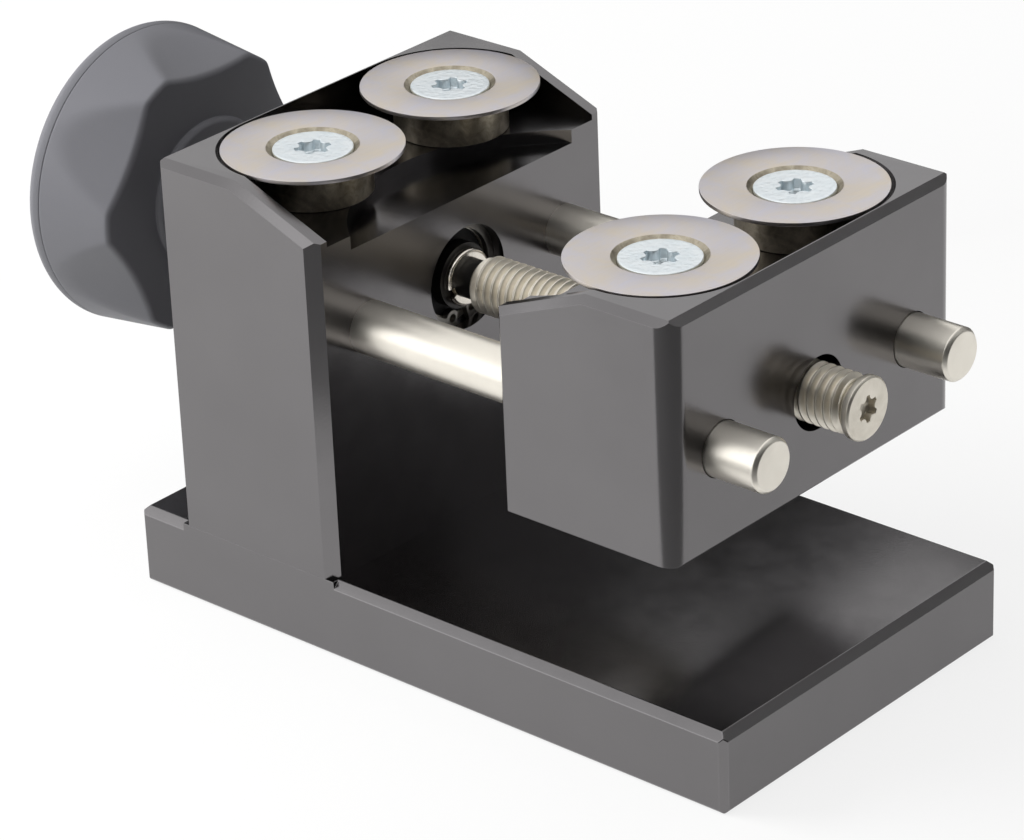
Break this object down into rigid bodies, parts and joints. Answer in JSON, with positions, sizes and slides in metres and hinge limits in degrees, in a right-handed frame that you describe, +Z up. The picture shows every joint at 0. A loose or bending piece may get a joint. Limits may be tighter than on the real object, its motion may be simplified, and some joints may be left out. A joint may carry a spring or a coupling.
{
  "type": "dial ring remover",
  "caption": "Bench tool whose fixed and sliding jaws carry flanged steel discs; a star knob and lead screw close the sliding jaw on guide rods to lift the ring off a watch.",
  "frame": {"origin": "centre of the base plate's underside", "axes": "+X along the spindle from the knob to its open end, +Z up, -Y towards the side nearest in the picture"},
  "size_m": [0.1423, 0.0636, 0.0732],
  "materials": {
    "anodised": "black anodised, fine satin",
    "rod_steel": "ground bright steel",
    "ground_steel": "fine ground and lapped steel",
    "zinc_steel": "bright zinc plated",
    "bronze": "sintered bronze",
    "dark_steel": "black oxide steel",
    "seal_rubber": "matte rubber seal",
    "knob_plastic": "dark grey moulded plastic"
  },
  "bodies": {
    "stand": {"base_plate": "anodised", "fixed_jaw": "anodised", "base_screws": "dark_steel", "base_dowels": "rod_steel", "guide_rod_near": "rod_steel", "guide_rod_far": "rod_steel", "rod_grub_screws": "dark_steel", "bearing_outer_ring": "rod_steel", "bearing_balls": "rod_steel", "bearing_cage": "bronze", "bearing_seals": "seal_rubber", "bearing_circlip": "dark_steel", "rear_bush": "bronze", "disc_fixed_near": "ground_steel", "disc_fixed_far": "ground_steel", "disc_screws_fixed": "zinc_steel"},
    "spindle": {"lead_screw": "rod_steel", "end_screw": "ground_steel", "spindle_circlip": "ground_steel", "bearing_inner_ring": "rod_steel", "bearing_spacer": "rod_steel", "distance_sleeve": "dark_steel", "knob": "knob_plastic", "knob_bush": "bronze", "knob_screw": "dark_steel", "knob_cap": "knob_plastic"},
    "sliding_jaw": {"moving_jaw": "anodised", "disc_moving_near": "ground_steel", "disc_moving_far": "ground_steel", "disc_screws_moving": "zinc_steel", "guide_bush_near_inner": "bronze", "guide_bush_near_outer": "bronze", "guide_bush_far_inner": "bronze", "guide_bush_far_outer": "bronze", "lead_nut": "bronze", "nut_grub_screw": "dark_steel"}
  },
  "joints": [
    {"name": "spindle_turn", "type": "hinge", "parent": "stand", "child": "spindle", "pos_m": [0, 0, 0.0495], "axis": [1, 0, 0], "range_deg": [-4120, 8570]},
    {"name": "jaw_slide", "type": "slide", "parent": "stand", "child": "sliding_jaw", "axis": [1, 0, 0], "range_m": [-0.0333, 0.016]}
  ],
  "couplings": [
    {"joint": "spindle_turn", "follows": "jaw_slide", "rad_per_m": -4488}
  ]
}
